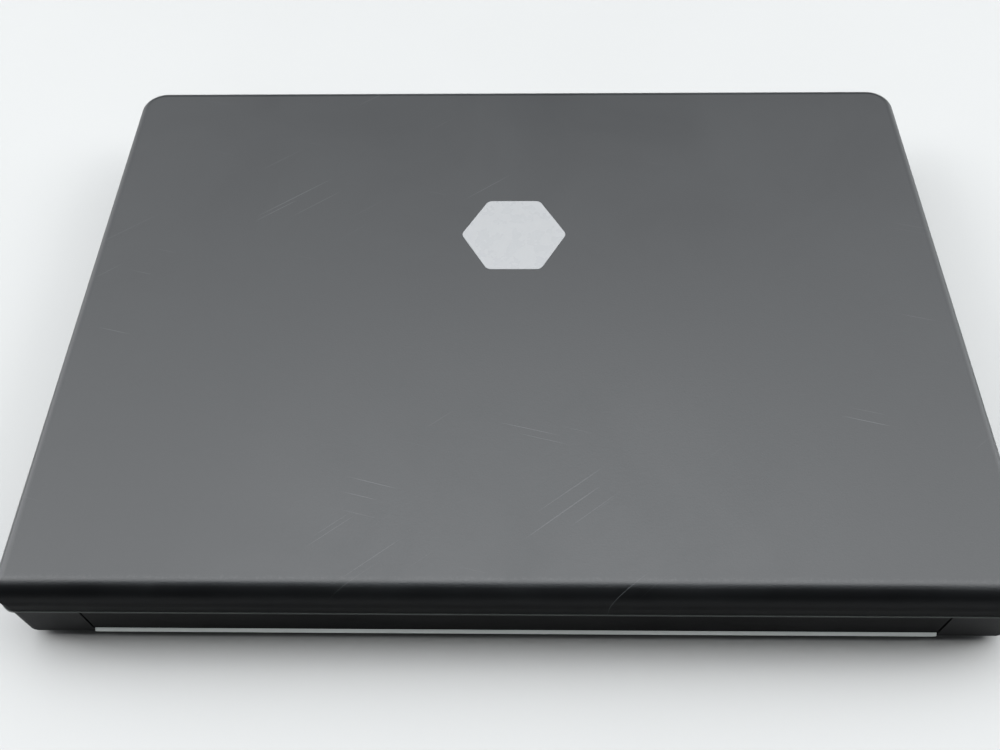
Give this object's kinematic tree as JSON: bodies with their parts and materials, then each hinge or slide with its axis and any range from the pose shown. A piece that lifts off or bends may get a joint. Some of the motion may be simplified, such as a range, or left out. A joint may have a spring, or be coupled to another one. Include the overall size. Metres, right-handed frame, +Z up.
{
  "type": "laptop computer",
  "caption": "Closed notebook computer with a hinged display lid, keyboard, touchpad, optical drive tray, removable battery and side sockets.",
  "frame": {"origin": "on the desk under the middle of the closed computer's bounding box", "axes": "+X to the user's right, along the width; +Y towards the hinge side; +Z up"},
  "size_m": [0.3576, 0.2576, 0.0395],
  "materials": {
    "lid_black": "satin black lacquer over plastic",
    "case_black": "matte black moulded plastic",
    "palm_rest": "dark graphite plastic",
    "trim_grey": "pale grey moulded plastic",
    "pad": "fine matte",
    "key_black": "matte black key caps",
    "badge_white": "plain white inlay",
    "screen_back": "grey module housing",
    "screen": "screen, switched off",
    "steel": "plated steel",
    "screw_black": "black oxide screws",
    "drive_metal": "cast aluminium",
    "copper": "copper heat pipe and fins",
    "board_green": "circuit board",
    "chip": "chip package",
    "socket_black": "moulded socket",
    "socket_blue": "blue moulded socket",
    "light": "clear light pipes",
    "rubber": "black rubber"
  },
  "bodies": {
    "base": {"audio_jacks": "socket_black", "base_screws": "screw_black", "bottom_case": "case_black", "card_cage": "steel", "drive_shell": "steel", "fan_housing": "case_black", "hard_drive": "drive_metal", "hard_drive_cover": "case_black", "heat_sink": "copper", "hinge_brackets": "steel", "keyboard_plate": "steel", "lock_plate": "steel", "memory_cover": "case_black", "memory_modules": "board_green", "modem_socket": "socket_black", "monitor_socket": "socket_blue", "network_socket": "socket_black", "power_socket": "socket_black", "processor": "chip", "rear_trim": "trim_grey", "rubber_feet": "rubber", "speakers": "socket_black", "status_lights": "light", "switch_cover": "case_black", "system_board": "board_green", "top_case": "palm_rest", "touchpad": "pad", "usb_sockets": "steel", "wireless_card": "board_green"},
    "display": {"lid_cover": "lid_black", "lid_badge": "badge_white", "display_bezel": "case_black", "bezel_screws": "screw_black", "lcd_frame": "screen_back", "lcd_screen": "screen", "inverter_board": "board_green", "hinge_cover": "case_black", "hinge_arms": "steel", "lid_bumpers": "rubber"},
    "latch": {"lid_latch": "case_black"},
    "function_keys": {"function_keys": "key_black"},
    "number_keys": {"number_keys": "key_black"},
    "upper_letter_keys": {"upper_letter_keys": "key_black"},
    "home_letter_keys": {"home_letter_keys": "key_black"},
    "lower_letter_keys": {"lower_letter_keys": "key_black"},
    "bottom_keys": {"bottom_keys": "key_black"},
    "space_bar": {"space_bar": "key_black"},
    "left_click": {"touchpad_button_left": "palm_rest"},
    "right_click": {"touchpad_button_right": "palm_rest"},
    "power_key": {"power_button": "key_black"},
    "mute_key": {"mute_button": "key_black"},
    "volume_key": {"volume_rocker": "key_black"},
    "rotor": {"fan_rotor": "socket_black"},
    "tray": {"optical_tray": "socket_black"},
    "spindle": {"disc_spindle": "socket_black"},
    "eject": {"eject_button": "key_black"},
    "card": {"card_blank": "case_black"},
    "radio_switch": {"wireless_switch": "key_black"},
    "battery": {"battery_pack": "case_black"},
    "battery_catch": {"battery_latch": "case_black"}
  },
  "joints": [
    {"name": "lid_hinge", "type": "hinge", "parent": "base", "child": "display", "pos_m": [0, 0.1239, 0.017], "axis": [-1, 0, 0], "range_deg": [0, 130]},
    {"name": "latch_slide", "type": "slide", "parent": "display", "child": "latch", "axis": [1, 0, 0], "range_m": [0, 0.003], "stiffness_N_per_m": 150, "springref_m": -0.002},
    {"name": "function_keys_press", "type": "slide", "parent": "base", "child": "function_keys", "axis": [0, 0, -1], "range_m": [0, 0.002], "stiffness_N_per_m": 300, "springref_m": -0.002},
    {"name": "number_keys_press", "type": "slide", "parent": "base", "child": "number_keys", "axis": [0, 0, -1], "range_m": [0, 0.002], "stiffness_N_per_m": 300, "springref_m": -0.002},
    {"name": "upper_letter_keys_press", "type": "slide", "parent": "base", "child": "upper_letter_keys", "axis": [0, 0, -1], "range_m": [0, 0.002], "stiffness_N_per_m": 300, "springref_m": -0.002},
    {"name": "home_letter_keys_press", "type": "slide", "parent": "base", "child": "home_letter_keys", "axis": [0, 0, -1], "range_m": [0, 0.002], "stiffness_N_per_m": 300, "springref_m": -0.002},
    {"name": "lower_letter_keys_press", "type": "slide", "parent": "base", "child": "lower_letter_keys", "axis": [0, 0, -1], "range_m": [0, 0.002], "stiffness_N_per_m": 300, "springref_m": -0.002},
    {"name": "bottom_keys_press", "type": "slide", "parent": "base", "child": "bottom_keys", "axis": [0, 0, -1], "range_m": [0, 0.002], "stiffness_N_per_m": 300, "springref_m": -0.002},
    {"name": "space_bar_press", "type": "slide", "parent": "base", "child": "space_bar", "axis": [0, 0, -1], "range_m": [0, 0.002], "stiffness_N_per_m": 300, "springref_m": -0.002},
    {"name": "left_click_press", "type": "slide", "parent": "base", "child": "left_click", "axis": [0, 0, -1], "range_m": [0, 0.0005], "stiffness_N_per_m": 300, "springref_m": -0.002},
    {"name": "right_click_press", "type": "slide", "parent": "base", "child": "right_click", "axis": [0, 0, -1], "range_m": [0, 0.0005], "stiffness_N_per_m": 300, "springref_m": -0.002},
    {"name": "power_press", "type": "slide", "parent": "base", "child": "power_key", "axis": [0, 0, -1], "range_m": [0, 0.0008], "stiffness_N_per_m": 300, "springref_m": -0.002},
    {"name": "mute_press", "type": "slide", "parent": "base", "child": "mute_key", "axis": [0, 0, -1], "range_m": [0, 0.0008], "stiffness_N_per_m": 300, "springref_m": -0.002},
    {"name": "volume_rock", "type": "hinge", "parent": "base", "child": "volume_key", "pos_m": [0.078, 0.099, 0.0226], "axis": [0, 1, 0], "range_deg": [-2, 2], "stiffness_Nm_per_rad": 0.05},
    {"name": "fan_spin", "type": "hinge", "parent": "base", "child": "rotor", "pos_m": [-0.136, 0.084, 0.011], "axis": [0, 0, 1], "continuous": true},
    {"name": "tray_slide", "type": "slide", "parent": "base", "child": "tray", "axis": [1, 0, 0], "range_m": [0, 0.13]},
    {"name": "spindle_spin", "type": "hinge", "parent": "tray", "child": "spindle", "pos_m": [0.112, 0.0135, 0.012], "axis": [0, 0, 1], "continuous": true},
    {"name": "eject_press", "type": "slide", "parent": "tray", "child": "eject", "axis": [-1, 0, 0], "range_m": [0, 0.0008], "stiffness_N_per_m": 200, "springref_m": -0.001},
    {"name": "card_slide", "type": "slide", "parent": "base", "child": "card", "axis": [-1, 0, 0], "range_m": [0, 0.06]},
    {"name": "radio_switch_slide", "type": "slide", "parent": "base", "child": "radio_switch", "axis": [1, 0, 0], "range_m": [0, 0.004]},
    {"name": "battery_drop", "type": "slide", "parent": "base", "child": "battery", "axis": [0, 0, -1], "range_m": [0, 0.03]},
    {"name": "battery_catch_slide", "type": "slide", "parent": "base", "child": "battery_catch", "axis": [0, 1, 0], "range_m": [0, 0.003], "stiffness_N_per_m": 200, "springref_m": -0.001}
  ]
}
